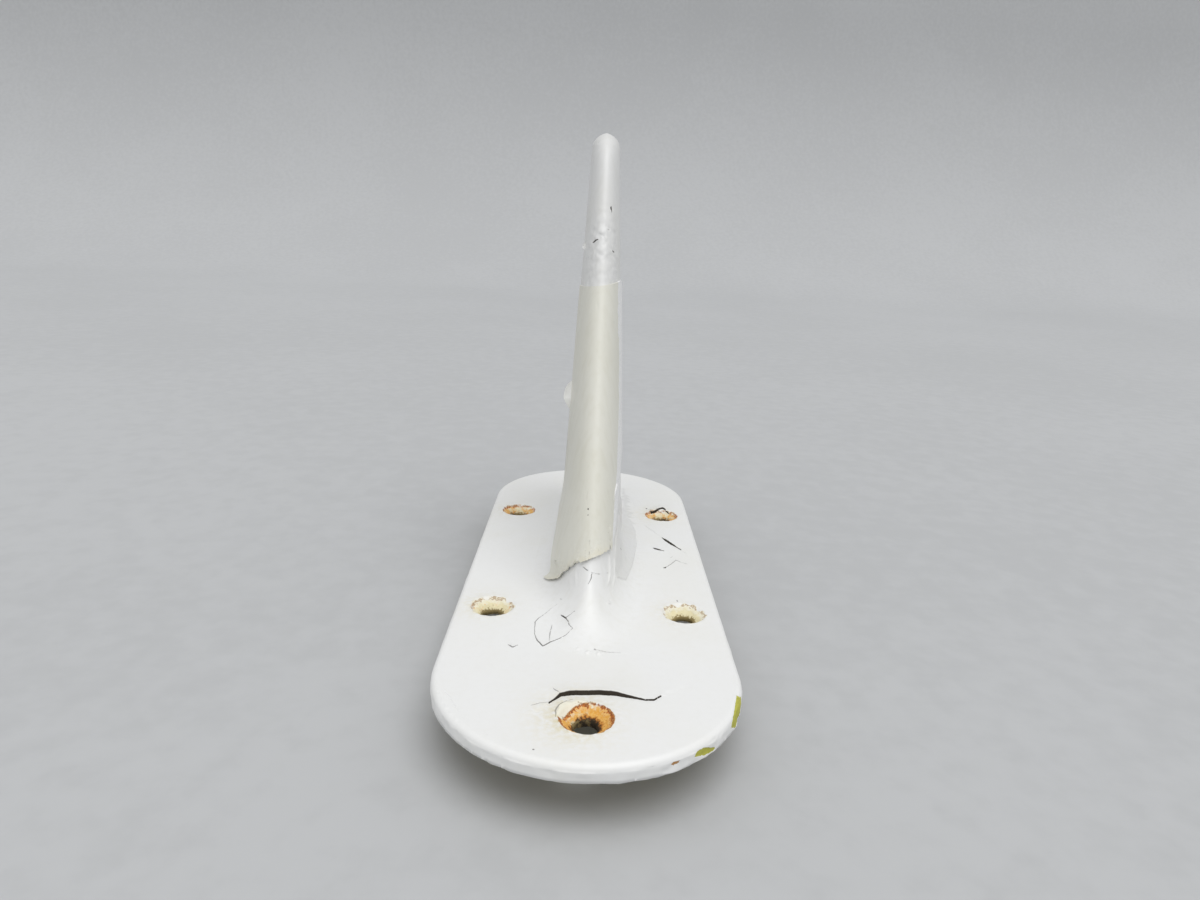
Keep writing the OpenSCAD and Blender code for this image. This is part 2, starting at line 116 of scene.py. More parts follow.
# Lumpy paint at the countersinks, and the brushed lower edge of the plate
RIM_LUMPS, RIM_BUILD = 0.11 * MM, 0.05 * MM
EDGE_WAVES, EDGE_TOP = 0.22 * MM, 2.4 * MM

# A mark on a surface, at the photograph's pixels. Sizes are in millimetres: width across, height of a ridge
# or depth of a groove, rise of the film left of the line and how fast that falls off. Dark is its dirt, and
# at the torn film behind the front hole also painted shadow.
Mark = namedtuple("Mark", "pixels width height rise fall dark", defaults=(0, 0, 0, 1, 0))
PAINT_MARKS = [
    # Torn film behind the front hole; its dark band is dirt and painted shadow under the lifted film
    Mark([(549, 703.5), (556, 699), (560, 696), (571, 694.5), (599, 694), (615, 695), (632, 698),
          (646, 700.5), (654, 700.5), (661, 696.5)], 0.6, -0.3, 0.95, 5, 1),
    Mark([(531, 706), (540, 703.5), (549, 703.5)], 0.3, -0.1, 0.1, 1.5, 0.45),
    Mark([(553, 690), (557, 693), (560, 696)], 0.35, -0.1, 0.1, 1.5, 0.5),
    Mark([(555.5, 717), (555.5, 710), (559, 704.5), (566, 701), (573, 699.5)], 0.4, -0.12, 0.15, 1, 0.5),
    # Flake left of the root
    Mark([(557, 604), (551, 608.5), (546, 613), (539, 618), (535, 622), (534.5, 634)],
         0.36, -0.12, 0.14, 1.5, 0.6),
    Mark([(534.5, 634), (537, 640), (543, 646), (550, 642), (558, 639), (566, 635), (573, 628)],
         0.36, -0.12, 0.16, 1.5, 0.62),
    Mark([(573, 628), (569, 625), (568, 621), (566, 618), (570, 615), (575, 611)],
         0.3, -0.15, 0.15, 1.2, 0.6),
    Mark([(561, 615), (565, 617.5), (568, 621)], 0.4, -0.2, 0.15, 1.2, 0.8),
    Mark([(552, 625), (550, 633), (549, 641)], 0.3, -0.12, 0.05, 1, 0.6),
    Mark([(560, 598), (562, 600)], 0.6, -0.1, 0, 1, 0.35),
    Mark([(508, 644.5), (512.5, 647), (518, 645)], 0.4, -0.12, 0.15, 1.5, 0.6),
    # Cracks right of the blade
    Mark([(644, 525), (653, 531), (662, 538)], 0.3, -0.1, 0.1, 1.5, 0.35),
    Mark([(662, 538), (671, 544), (681, 550)], 0.7, -0.25, 0.4, 2, 1),
    Mark([(681, 550), (687, 554)], 0.3, -0.1, 0.1, 1.5, 0.3),
    Mark([(653, 548), (658, 549.5), (664, 551)], 0.7, -0.25, 0.25, 1.5, 1),
    Mark([(665, 568), (671, 564), (676, 560), (680, 562), (687, 564)], 0.3, -0.12, 0.1, 1.5, 0.55),
    Mark([(663.5, 568), (666, 567)], 0.7, -0.2, 0.1, 1, 0.8),
    Mark([(670, 558), (673, 556)], 0.4, -0.1, 0, 1, 0.4),
    Mark([(677, 600), (677.5, 602)], 0.5, -0.15, 0, 1, 0.55),
    # Torn film over the far right hole
    Mark([(646, 508.5), (651.5, 513), (662.5, 508.5), (668, 513), (675, 517)], 0.8, -0.2, 0.5, 2.5, 1),
    # Fine cracks and specks of the plate
    Mark([(439, 687), (448, 694), (452, 700), (456, 707), (464, 719)], 0.25, -0.08, 0.05, 1, 0.22),
    Mark([(533, 749), (534, 749.5)], 0.6, -0.15, 0, 1, 0.7),
    Mark([(541, 739), (544, 738)], 0.4, -0.05, 0, 1, 0.25),
    Mark([(594, 649), (596, 650)], 0.6, -0.2, 0.2, 1.5, 0.5),
    Mark([(596, 650), (607, 652), (621, 653)], 0.35, -0.08, 0.12, 1.5, 0.42),
    # Cracks below the boot
    Mark([(583, 567), (587, 570), (592, 573)], 0.3, -0.12, 0.08, 1, 0.6),
    Mark([(592, 573), (599, 574), (608, 573)], 0.25, -0.1, 0.05, 1, 0.5),
    Mark([(592, 573), (591, 579), (588, 584)], 0.3, -0.12, 0.08, 1, 0.6),
    # Paint runs down the root
    Mark([(609, 549), (609, 575), (609, 600)], 1.0, 0.5),
    Mark([(608.5, 602), (609.5, 604)], 1.7, 0.5),
    Mark([(613.5, 551), (614, 575), (613, 597)], 0.9, 0.4),
    Mark([(569, 572), (570, 590)], 1.4, 0.14),
    Mark([(575, 568), (576, 588)], 1.4, 0.14),
    # Blobs at the toe of the root
    Mark([(586, 652), (590, 654)], 1.8, 0.4),
    Mark([(597, 653), (601, 655)], 1.8, 0.4),
    Mark([(577, 648), (580, 650)], 1.4, 0.25),
    # Pits of the smeared filler on the right fillet
    Mark([(619.5, 548), (620.5, 550)], 0.5, -0.12, 0, 1, 0.55),
    Mark([(625, 553), (627, 557), (630, 561)], 0.4, -0.1, 0.1, 1, 0.35),
    # Pits of the leading edge near the tip
    Mark([(611.5, 206.5), (611.8, 212)], 1.0, -0.35, 0, 1, 1),
    Mark([(593, 242.5), (598, 239.5)], 0.6, -0.25, 0.1, 1, 1),
    Mark([(599, 234), (603, 236), (606, 241)], 0.9, -0.1, 0, 1, 0.3),
    Mark([(612.5, 251), (614.3, 251.8)], 0.7, -0.2, 0, 1, 0.7),
    Mark([(608, 229), (610, 229.5)], 0.5, -0.1, 0, 1, 0.5),
    Mark([(615.8, 263), (616.2, 263.5)], 0.5, -0.1, 0, 1, 0.5),
    Mark([(598, 142.5), (598.3, 143.5)], 0.5, -0.08, 0, 1, 0.35),
    Mark([(611, 144.5), (611.4, 145.5)], 0.5, -0.08, 0, 1, 0.3),
]
# Outline of the smeared filler on the right fillet, its thickness, and the painted shade of the concave
# fillet within it
FILLER = [(622, 488), (626, 486), (631, 500), (635.5, 520), (637, 545), (633, 565), (626, 581), (617, 578),
          (614, 566), (615, 540), (618, 515)]
FILLER_HEIGHT = 0.3 * MM
FILLER_TONE = 0.29
# Brushed, built-up paint of the leading edge: its middle, and how far up and down it goes
ROUGH_PAINT_PIXEL = (606, 245)
ROUGH_PAINT_REACH = 9 * MM
# Painted shade that darkens the blade's upright sides: its share, how far above the plate it starts and over
# what height it grows
GRIME_SHARE, GRIME_START, GRIME_RISE = 0.3, 1 * MM, 14 * MM

# Paint laps over the boot's right border, which runs through these pixels
BOOT_BORDER = [(618, 284), (619, 400), (617, 470), (614, 510), (612, 552)]
# Curled flakes of paint on the blade's left: where they are rooted, and how many millimetres they stand out
FLAKES = [([(572, 381), (571.5, 390), (571, 398), (570, 408)], 2.4), ([(585.5, 242), (585, 250)], 1.2)]
FLAKE_THICKNESS = 0.14 * MM
# Left side of the boot's lower end, which stands off the blade
BOOT_SIDE = [(562, 480), (561, 490), (558, 514), (553, 544), (545.6, 579)]
# In the photograph's pixels: how far above its tear the boot slides, over what height its side comes loose,
# and how far in from that side
TEAR_EASE, SIDE_START, SIDE_REACH = 45, 25, 13
# The boot's torn lower edge
BOOT_TEAR = [(545.8, 580.8), (555, 579), (566.7, 571.7), (576.7, 564), (590, 559), (600, 555), (611.7, 549)]
# A run of paint on the boot
PAINT_STREAK = Mark([(617, 482), (615.5, 490), (614, 500)], 0.8, 0.3)
BOOT_MARKS = [
    Mark([(588, 508.5), (588.3, 509.5)], 0.6, -0.2, 0, 1, 0.8),
    Mark([(587.8, 514.5), (588.4, 515.5)], 0.9, -0.12, 0, 1, 0.45),
    Mark([(588, 490), (586, 498), (588, 505)], 0.5, -0.08, 0, 1, 0.25),
    PAINT_STREAK,
    Mark([(597, 301), (598, 308), (596, 315)], 0.9, -0.05, 0, 1, 0.2),
    Mark([(614, 321), (614.3, 324)], 0.9, -0.05, 0, 1, 0.3),
    Mark([(617, 411), (616.6, 414)], 0.6, -0.06, 0, 1, 0.3),
]

# Chipped paint of the plate's edge, outlined in the photograph's pixels: how yellow-green and how brown it is
Chip = namedtuple("Chip", "outline primer brown")
CHIPS = [
    Chip([(694, 757), (697, 751.5), (704, 747.8), (716, 747.3), (713.5, 751), (704, 755.5)], 1.0, 0.0),
    Chip([(737, 694), (742, 697), (740, 715), (735, 728), (731, 728), (733.5, 716)], 0.75, 0.0),
    Chip([(671, 765), (674, 762), (680, 760.5), (679, 763), (674, 766)], 0.1, 0.8),
]
CHIP_DEPTH = 0.16 * MM

# Places taken on each stretch of a line when a mesh is refined along it
LINE_SAMPLES = 5
# The key light: where it comes from and how broad it is
KEY_FROM, KEY_SPREAD = (0.15, -0.28, 1), math.radians(55)


def color_property(name, description, default):
    """A colour that the user may change."""
    return FloatVectorProperty(
        name=name, description=description, subtype="COLOR", size=3, min=0, max=1, default=default
    )


def length_property(name, description, default):
    """A length that the user may change."""
    return FloatProperty(
        name=name, description=description, unit="LENGTH", min=0, default=default, precision=5
    )


class PlateSettings(PropertyGroup):
    paint: color_property("Paint", "Top coat of the plate and the blade", (0.84, 0.845, 0.84))
    undercoat: color_property("Undercoat", "Yellowed paint inside the countersinks", (0.78, 0.71, 0.47))
    primer: color_property("Primer", "Primer in the chips", (0.5, 0.49, 0.08))
    bonding: color_property("Underside", "Conversion coating of the mounting face", (0.62, 0.55, 0.34))
    grid: length_property("Grid", "Spacing of the plate's mesh", 3 * MM)
    detail: length_property("Detail", "Longest edge at a crack", 0.14 * MM)
    rim_detail: length_property("Rim detail", "Longest edge in a countersink", 0.45 * MM)


class BladeSettings(PropertyGroup):
    detail: length_property("Detail", "Longest edge at a crack", 0.18 * MM)
    rough: length_property("Rough paint", "Height of the brushed paint on the leading edge", 0.42 * MM)


class BootSettings(PropertyGroup):
    film: color_property("Film", "Weathered film of the boot", (0.73, 0.725, 0.655))
    lift: length_property("Lift", "How far the torn edge stands off the blade", 0.25 * MM)
    detail: length_property("Detail", "Longest edge along the tear", 0.35 * MM)


class StageSettings(PropertyGroup):
    floor: color_property("Floor", "Floor and backdrop", (0.5, 0.51, 0.52))
    camera_place: FloatVectorProperty(
        name="Camera place", description="Where the photograph was taken from", subtype="TRANSLATION", size=3,
        default=(-0.002198, -0.217037, 0.093643), precision=5,
    )
    camera_turn: FloatVectorProperty(
        name="Camera turn", description="Direction of the photograph", subtype="EULER", size=3,
        default=(1.306525, -0.045106, -0.005544), precision=5,
    )
    lens: FloatProperty(name="Lens", description="Focal length on a 36 mm sensor", default=23.995)
    sky: FloatProperty(name="Sky", description="Strength of the light from all round", default=0.66, min=0)
    sun: FloatProperty(name="Sun", description="Strength of the soft key light", default=1.4, min=0)


# Meshes


def merged_copy(node):
    """An editable copy of a CAD node's mesh, with its loose triangles joined."""
    bm = bmesh.new()
    bm.from_mesh(frame["nodes"][node].data)
    bmesh.ops.remove_doubles(bm, verts=bm.verts, dist=MERGE)
    return bm


def surface_tree(*nodes):
    """A search tree over some CAD nodes, for lines of sight."""
    points, faces = [], []
    for node in nodes:
        mesh = frame["nodes"][node].data
        first = len(points)
        points += [vertex.co.copy() for vertex in mesh.vertices]
        faces += [[first + corner for corner in polygon.vertices] for polygon in mesh.polygons]
    return BVHTree.FromPolygons(points, faces)


def camera_matrix():
    """Place and direction of the photograph."""
    stage = bpy.context.scene.antenna_stage
    return Matrix.LocRotScale(Vector(stage.camera_place), Euler(stage.camera_turn), None)


def photo_focal():
    """Focal length in the photograph's pixels."""
    return bpy.context.scene.antenna_stage.lens / SENSOR_WIDTH * PHOTO_SIZE[0]


def on_surface(tree, pixels):
    """The points of a surface that the photograph shows at these pixels."""
    view, focal = camera_matrix(), photo_focal()
    points = []
    for u, v in pixels:
        sight = Vector(((u - PHOTO_SIZE[0] / 2) / focal, (PHOTO_SIZE[1] / 2 - v) / focal, -1))
        hit = tree.ray_cast(view.translation, view.to_3x3() @ sight)[0]
        if hit is None:
            raise RuntimeError(f"the line of sight at pixel {u}, {v} misses the surface")
        points.append(hit)
    return points


def shrunk(outline, share=0.45):
    """A closed outline drawn in towards its middle."""
    middle = np.mean(outline, axis=0)
    return [tuple(middle + share * (np.array(corner) - middle)) for corner in outline + outline[:1]]


def photo_pixels(points):
    """Where the photograph shows these points."""
    view, focal = camera_matrix().inverted(), photo_focal()
    seen = points @ np.array(view.to_3x3()).T + np.array(view.translation)
    across = PHOTO_SIZE[0] / 2 - focal * seen[:, 0] / seen[:, 2]
    down = PHOTO_SIZE[1] / 2 + focal * seen[:, 1] / seen[:, 2]
    return np.stack([across, down], axis=1)


def jagged(points, step=0.5 * MM, shake=0.14 * MM):
    """A line in short steps that wander, as a tear does."""
    line = [points[0]]
    for start, end in zip(points, points[1:]):
        count = max(1, round((end - start).length / step))
        for i in range(1, count + 1):
            point = start.lerp(end, i / count)
            line.append(point + noise.noise_vector(point / step) * shake if i < count else point)
    return np.array(line)


def mark_lines(tree, marks, **wander):
    """The lines of some marks on a surface."""
    return [jagged(on_surface(tree, mark.pixels), **wander) for mark in marks]


def bell(value, middle, width):
    """1 at the middle, falling off smoothly to both sides."""
    return np.exp(-(((value - middle) / width) ** 2))


def measure(points, normals, line):
    """Distance of points from a line, positive on its left, and how far along it they are, from 0 to 1."""
    best = np.full(len(points), np.inf)
    side, along = np.zeros(len(points)), np.zeros(len(points))
    run = np.linalg.norm(np.diff(line, axis=0), axis=1)
    passed = np.concatenate([[0], np.cumsum(run)]) / run.sum()
    for i, (start, end) in enumerate(zip(line, line[1:])):
        reach = end - start
        from_start = points - start
        share = np.clip(from_start @ reach / (reach @ reach), 0, 1)
        gap = np.linalg.norm(from_start - share[:, None] * reach, axis=1)
        closer = gap < best
        best[closer] = gap[closer]
        turn = np.einsum("ij,ij->i", np.cross(reach, from_start), normals)
        side[closer] = np.where(turn >= 0, 1, -1)[closer]
        along[closer] = (passed[i] + share * (passed[i + 1] - passed[i]))[closer]
    return best * side, along


def refine(bm, lines, longest, reach, growth=0.9):
    """Halves triangles, longest edges first, until they are short near the lines and longer further away."""
    places = []
    for line in lines:
        for start, end in zip(line, line[1:]):
            places += [start + (end - start) * i / LINE_SAMPLES for i in range(LINE_SAMPLES)]
    near = KDTree(len(places))
    for number, place in enumerate(places):
        near.insert(place, number)
    near.balance()
    waiting = bm.edges[:]
    while waiting:
        long = []
        for edge in waiting:
            length = edge.calc_length()
            if length > longest:
                gap = near.find((edge.verts[0].co + edge.verts[1].co) / 2)[2] - reach - length / 2
                if length > longest + growth * max(0, gap):
                    long.append((length, edge))
        halved, waiting, taken = [], [], set()
        for _, edge in sorted(long, key=lambda item: -item[0]):
            free = taken.isdisjoint(edge.link_faces)
            taken.update(edge.link_faces)
            (halved if free else waiting).append(edge)
        made = bmesh.ops.subdivide_edges(bm, edges=halved, cuts=1, use_single_edge=True)
        made = made["geom_inner"] + made["geom_split"]
        middles = [item for item in made if isinstance(item, bmesh.types.BMVert)]
        touched = [edge for vertex in middles for edge in vertex.link_edges]
        waiting = list(dict.fromkeys(waiting + touched))


def refine_marks(bm, lines, marks, detail):
    """Refines a mesh at its cracks, and less at its ridges."""
    cracks = [line for line, mark in zip(lines, marks) if mark.height < 0]
    ridges = [line for line, mark in zip(lines, marks) if mark.height > 0]
    refine(bm, cracks, detail, reach=0.3 * MM)
    refine(bm, ridges, 0.4 * MM, reach=0.8 * MM)


def mark_surface(points, normals, lines, marks):
    """How far a surface moves along its normals at its marks, and how dark it is there with dirt and painted
    shadow.
    """
    moved, dirt = np.zeros(len(points)), np.zeros(len(points))
    for line, mark in zip(lines, marks):
        margin = (mark.width + 3 * mark.fall * (mark.rise > 0)) * MM
        low, high = line.min(axis=0) - margin, line.max(axis=0) + margin
        close = np.all((points > low) & (points < high), axis=1)
        if not close.any():
            continue
        gap, along = measure(points[close], normals[close], line)
        # A mark tapers to both ends, more slowly to its last one
        fade = np.clip(7 * along * np.clip(1 - along, 0, 1) ** 1.7, 0.3, 1)
        half = mark.width / 2 * MM * fade
        moved[close] += mark.height * MM * fade * np.clip(1 - (gap / half) ** 2, 0, 1)
        lifted = gap > 0.04 * MM
        moved[close] += mark.rise * MM * fade * lifted * np.exp(-np.abs(gap) / (mark.fall * MM))
        reach = np.where(gap > 0, np.maximum(0.7 * half, 0.1 * MM), half)
        # At the torn film behind the front hole this dark is partly painted shadow under the lifted film
        dirt[close] = np.maximum(dirt[close], mark.dark * np.clip(1.6 - np.abs(gap) / reach, 0, 1))
    return moved, dirt


def arrays(bm):
    """Places and normals of a mesh's vertices."""
    bm.normal_update()
    points = np.array([vertex.co.to_tuple() for vertex in bm.verts])
    return points, np.array([vertex.normal.to_tuple() for vertex in bm.verts])


def move_to(bm, points):
    """Puts a mesh's vertices at these points."""
    for vertex, point in zip(bm.verts, points):
        vertex.co = point


def wavy(points, scale, seed=0):
    """Smooth noise between about -1 and 1 at each point."""
    shift = Vector((seed, 2 * seed, 3 * seed))
    return np.array([noise.noise(Vector(point) * scale + shift) for point in points])


def inside(pixels, outline):
    """Which pixels lie within an outline."""
    found = np.zeros(len(pixels), bool)
    for (u0, v0), (u1, v1) in zip(outline, outline[1:] + outline[:1]):
        crosses = (v0 > pixels[:, 1]) != (v1 > pixels[:, 1])
        at = u0 + (pixels[:, 1] - v0) / ((v1 - v0) or 1e-9) * (u1 - u0)
        found ^= crosses & (pixels[:, 0] < at)
    return found


def seen_inside(tree, points, outline):
    """Which points the photograph shows within an outline."""
    found = inside(photo_pixels(points), outline)
    eye = camera_matrix().translation
    for i in np.flatnonzero(found):
        point = Vector(points[i])
        hit = tree.ray_cast(eye, point - eye)[0]
        found[i] = hit is not None and (hit - point).length < 0.5 * MM
    return found


def smear_filler(tree, points, normals, crack):
    """How far the filler on the right fillet stands out. Painted shade of the concave fillet within it goes
    into the mask of the cracks.
    """
    moved = np.zeros(len(points))
    spread = seen_inside(tree, points, FILLER)
    if spread.any():
        outline = jagged(on_surface(tree, FILLER + FILLER[:1]))
        gap = np.abs(measure(points[spread], normals[spread], outline)[0])
        thick = FILLER_HEIGHT * np.clip(gap / (0.4 * MM), 0, 1)
        moved[spread] = thick * (1 + 0.35 * wavy(points[spread], 350))
        # Painted shade of the concave fillet within the outline
        crack[spread] = np.maximum(crack[spread], FILLER_TONE)
    return moved


def finish_piece(bm, name, materials, masks, slot, *nodes):
    """Makes an object of a mesh, with its masks, and lets it stand for its CAD nodes."""
    mesh = bpy.data.meshes.new(name)
    bm.to_mesh(mesh)
    bm.free()
    mesh.shade_smooth()
    mesh.set_sharp_from_angle(angle=SHARP_ANGLE)
    for mask, values in masks.items():
        layer = mesh.attributes.new(mask, "FLOAT", "POINT")
        layer.data.foreach_set("value", np.asarray(values, np.float32))
    for material in materials:
        mesh.materials.append(material)
    piece = bpy.data.objects.new(name, mesh)
    bpy.context.scene.collection.objects.link(piece)
    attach(piece, "root")
    if nodes:
        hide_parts(*nodes)


def finish_nodes(finishes):
    """Gives CAD nodes their materials."""
    for node, material in finishes.items():
        slots = frame["nodes"][node].data.materials
        slots.clear()
        slots.append(material)


# Materials


def add_node(tree, kind, inputs=None, **settings):
    """Adds a node; an input is a value or another node's output."""
    made = tree.nodes.new(kind)
    for name, value in settings.items():
        setattr(made, name, value)
    for key, value in (inputs or {}).items():
        if isinstance(value, bpy.types.NodeSocket):
            tree.links.new(value, made.inputs[key])
        else:
            made.inputs[key].default_value = value
    return made


def object_noise(tree, scale, detail=3, roughness=0.5, stretch=(1, 1, 1)):
    """Noise on Object coordinates, finer with a larger scale."""
    coordinates = add_node(tree, "ShaderNodeTexCoord").outputs["Object"]
    placed = add_node(tree, "ShaderNodeMapping", {"Vector": coordinates, "Scale": stretch}).outputs["Vector"]
    inputs = {"Vector": placed, "Scale": scale, "Detail": detail, "Roughness": roughness}
    return add_node(tree, "ShaderNodeTexNoise", inputs).outputs["Fac"]


def math_node(tree, operation, first, second):
    """One operation on two values."""
    return add_node(tree, "ShaderNodeMath", {0: first, 1: second}, operation=operation).outputs[0]


def step_up(tree, value, low, high, top=1.0, bottom=0.0):
    """A smooth step from bottom to top as the value goes from low to high."""
    inputs = {"Value": value, "From Min": low, "From Max": high, "To Min": bottom, "To Max": top}
    return add_node(tree, "ShaderNodeMapRange", inputs, interpolation_type="SMOOTHSTEP").outputs["Result"]


def mix_color(tree, share, first, second, blend="MIX"):
    """A blend of two colours."""
    made = add_node(tree, "ShaderNodeMix", {0: share}, data_type="RGBA", blend_type=blend)
    for index, value in ((6, first), (7, second)):
        if isinstance(value, bpy.types.NodeSocket):
            tree.links.new(value, made.inputs[index])
        else:
            made.inputs[index].default_value = (*value[:3], 1)
    return made.outputs[2]


def color_ramp(tree, value, stops):
    """Colours at places between 0 and 1 along a value."""
    ramp = add_node(tree, "ShaderNodeValToRGB", {"Fac": value})
    elements = ramp.color_ramp.elements
    elements[0].color, elements[1].color = (*stops[0][1], 1), (*stops[-1][1], 1)
    for place, color in stops[1:-1]:
        elements.new(place).color = (*color, 1)
    return ramp.outputs["Color"]


def new_group(name, colors, values, outputs):
    """An empty shader node group with its sockets."""
    group = bpy.data.node_groups.new(name, "ShaderNodeTree")
    for socket in colors:
        group.interface.new_socket(socket, in_out="INPUT", socket_type="NodeSocketColor")
    for socket in values:
        group.interface.new_socket(socket, in_out="INPUT", socket_type="NodeSocketFloat")
    for socket in outputs:
        kind = "NodeSocketColor" if socket == "Color" else "NodeSocketFloat"
        group.interface.new_socket(socket, in_out="OUTPUT", socket_type=kind)
    return group, add_node(group, "NodeGroupInput").outputs, add_node(group, "NodeGroupOutput").inputs


# Rust from the bore up to the rim of a countersink; its near-black stops at the bore are painted shade in the
# hole
RUST = [
    (0, (0.03, 0.02, 0.008)), (0.14, (0.12, 0.05, 0.012)), (0.26, (0.55, 0.22, 0.03)),
    (0.42, (0.82, 0.5, 0.14)), (0.56, (0.76, 0.36, 0.05)), (0.7, (0.82, 0.54, 0.2)),
    (0.8, (0.6, 0.2, 0.03)), (0.9, (0.22, 0.05, 0.012)), (1, (0.5, 0.26, 0.09)),
]
# Undercoat high up in a countersink, the brown line near its rim and the grime in its bore
PALE_UNDERCOAT = (0.84, 0.81, 0.68)
RIM_LINE = (0.36, 0.22, 0.1)
BORE_GRIME = (0.3, 0.23, 0.1)
# Dirt in cracks, also used for painted shade and painted shadow, stain round the holes, specks, and the tints
# of aged, streaked and primed surfaces
DIRT = (0.028, 0.02, 0.011)
STAIN = (0.68, 0.6, 0.36)
SPECKS = (0.45, 0.42, 0.36)
AGED_TINT = (0.93, 0.92, 0.86)
STREAK_TINT = (0.8, 0.78, 0.7)
PRIMER_TINT = (0.8, 0.8, 0.84)
# Kinds of wear, each with a mask on the piece; the mask of the cracks also carries painted shade and painted
# shadow
WEAR = ("Crack", "Chip", "Bare", "Rust", "Stain", "Sink")


def worn_paint_group():
    """Paint with stains, rust, chips, dirty cracks and painted shade, driven by the piece's own masks."""
    if "worn_paint" in bpy.data.node_groups:
        return bpy.data.node_groups["worn_paint"]
    tree, given, out = new_group(
        "worn_paint", ("Paint", "Undercoat", "Primer"), ("Streaks", *WEAR), ("Color", "Roughness", "Height")
    )
    cloudy = object_noise(tree, 55, 4)
    fine = object_noise(tree, 800, 6, 0.6)
    flecks = object_noise(tree, 1900, 3, 0.55)
    peel = object_noise(tree, 420, 2)
    streaks = object_noise(tree, 1, 3, 0.5, (620, 620, 34))
    yellowed = step_up(tree, cloudy, 0.4, 0.75, 0.3)
    aged = mix_color(tree, yellowed, given["Paint"], AGED_TINT, "MULTIPLY")
    streaky = math_node(tree, "MULTIPLY", step_up(tree, streaks, 0.45, 0.7), given["Streaks"])
    aged = mix_color(tree, streaky, aged, STREAK_TINT, "MULTIPLY")
    aged = mix_color(tree, step_up(tree, flecks, 0.73, 0.8, 0.35), aged, SPECKS)
    stained = math_node(tree, "MULTIPLY", given["Stain"], step_up(tree, fine, 0.25, 0.7))
    aged = mix_color(tree, stained, aged, STAIN)

    ragged = math_node(tree, "SUBTRACT", fine, 0.5)
    bare = step_up(tree, math_node(tree, "ADD", given["Bare"], ragged), 0.38, 0.62)
    uneven = math_node(tree, "SUBTRACT", math_node(tree, "ADD", fine, flecks), 1)
    ring = math_node(tree, "ADD", given["Sink"], math_node(tree, "MULTIPLY", uneven, 0.75))
    under = mix_color(tree, step_up(tree, ring, 0.3, 0.8), given["Undercoat"], PALE_UNDERCOAT)
    below_rim = step_up(tree, ring, 0.9, 1.02, 0.0, 1.0)
    rim = math_node(tree, "MULTIPLY", step_up(tree, ring, 0.76, 0.86, 0.75), below_rim)
    under = mix_color(tree, rim, under, RIM_LINE)
    under = mix_color(tree, step_up(tree, ring, 0.04, 0.2, 0.0, 1.0), under, BORE_GRIME)
    worn = mix_color(tree, bare, aged, under)

    patchy = math_node(tree, "MULTIPLY", ragged, 1.2)
    rust = step_up(tree, math_node(tree, "ADD", given["Rust"], patchy), 0.4, 0.72)
    # Near the bore the rust ramp is near-black, painted shade in the hole
    worn = mix_color(tree, rust, worn, color_ramp(tree, ring, RUST))

    chip = step_up(tree, math_node(tree, "ADD", given["Chip"], ragged), 0.42, 0.52)
    mottled = step_up(tree, flecks, 0.4, 0.65, 0.55)
    primer = mix_color(tree, mottled, given["Primer"], PRIMER_TINT, "MULTIPLY")
    worn = mix_color(tree, chip, worn, primer)

    # The mask of the cracks also carries painted shade and painted shadow, mixed towards the dark dirt colour
    crack = step_up(tree, given["Crack"], 0.15, 0.85)
    tree.links.new(mix_color(tree, crack, worn, DIRT), out["Color"])

    rough = bare
    for damage in (rust, chip, crack):
        rough = math_node(tree, "MAXIMUM", rough, damage)
    gloss = step_up(tree, cloudy, 0.3, 0.7, 0.46, 0.36)
    tree.links.new(step_up(tree, rough, 0, 1, 0.82, gloss), out["Roughness"])
    grit = math_node(tree, "MULTIPLY", math_node(tree, "MULTIPLY", flecks, rough), 0.8)
    tree.links.new(math_node(tree, "ADD", math_node(tree, "MULTIPLY", peel, 0.25), grit), out["Height"])
    return tree


def new_material(name):
    """A material with only its output and a Principled shader."""
    material = bpy.data.materials.new(name)
    material.use_nodes = True
    tree = material.node_tree
    return material, tree, tree.nodes["Principled BSDF"]


def place_group(tree, shader, group, inputs, depth, strength):
    """Places a node group in a material and joins its colour, roughness and relief to the shader."""
    placed = add_node(tree, "ShaderNodeGroup", inputs, node_tree=group).outputs
    relief = {"Height": placed["Height"], "Distance": depth, "Strength": strength}
    bump = add_node(tree, "ShaderNodeBump", relief)
    tree.links.new(placed["Color"], shader.inputs["Base Color"])
    tree.links.new(placed["Roughness"], shader.inputs["Roughness"])
    tree.links.new(bump.outputs["Normal"], shader.inputs["Normal"])


def worn_paint(name, paint, undercoat, primer, streaks):
    """Worn paint on one piece. A kind of wear that the piece has no mask for doesn't show on it."""
    material, tree, shader = new_material(name)
    inputs = {"Paint": (*paint, 1), "Undercoat": (*undercoat, 1), "Primer": (*primer, 1), "Streaks": streaks}
    for wear in WEAR:
        mask = add_node(tree, "ShaderNodeAttribute", attribute_name=wear.lower())
        inputs[wear] = mask.outputs["Fac"]
    place_group(tree, shader, worn_paint_group(), inputs, 0.25 * MM, 0.6)
    return material


def grained_group():
    """Fine grain of a plain part: a lighter and a darker tone, its roughness and its height."""
    if "fine_grain" in bpy.data.node_groups:
        return bpy.data.node_groups["fine_grain"]
    tree, given, out = new_group(
        "fine_grain", ("Light", "Dark"), ("Scale", "Gloss"), ("Color", "Roughness", "Height")
    )
    grain = object_noise(tree, given["Scale"], 5, 0.6)
    cloudy = object_noise(tree, 140, 3)
    tone = math_node(tree, "MULTIPLY", math_node(tree, "ADD", grain, cloudy), 0.5)
    color = mix_color(tree, step_up(tree, tone, 0.38, 0.62), given["Dark"], given["Light"])
    tree.links.new(color, out["Color"])
    spread = math_node(tree, "MULTIPLY", math_node(tree, "SUBTRACT", grain, 0.5), 0.3)
    tree.links.new(math_node(tree, "ADD", given["Gloss"], spread), out["Roughness"])
    tree.links.new(grain, out["Height"])
    return tree


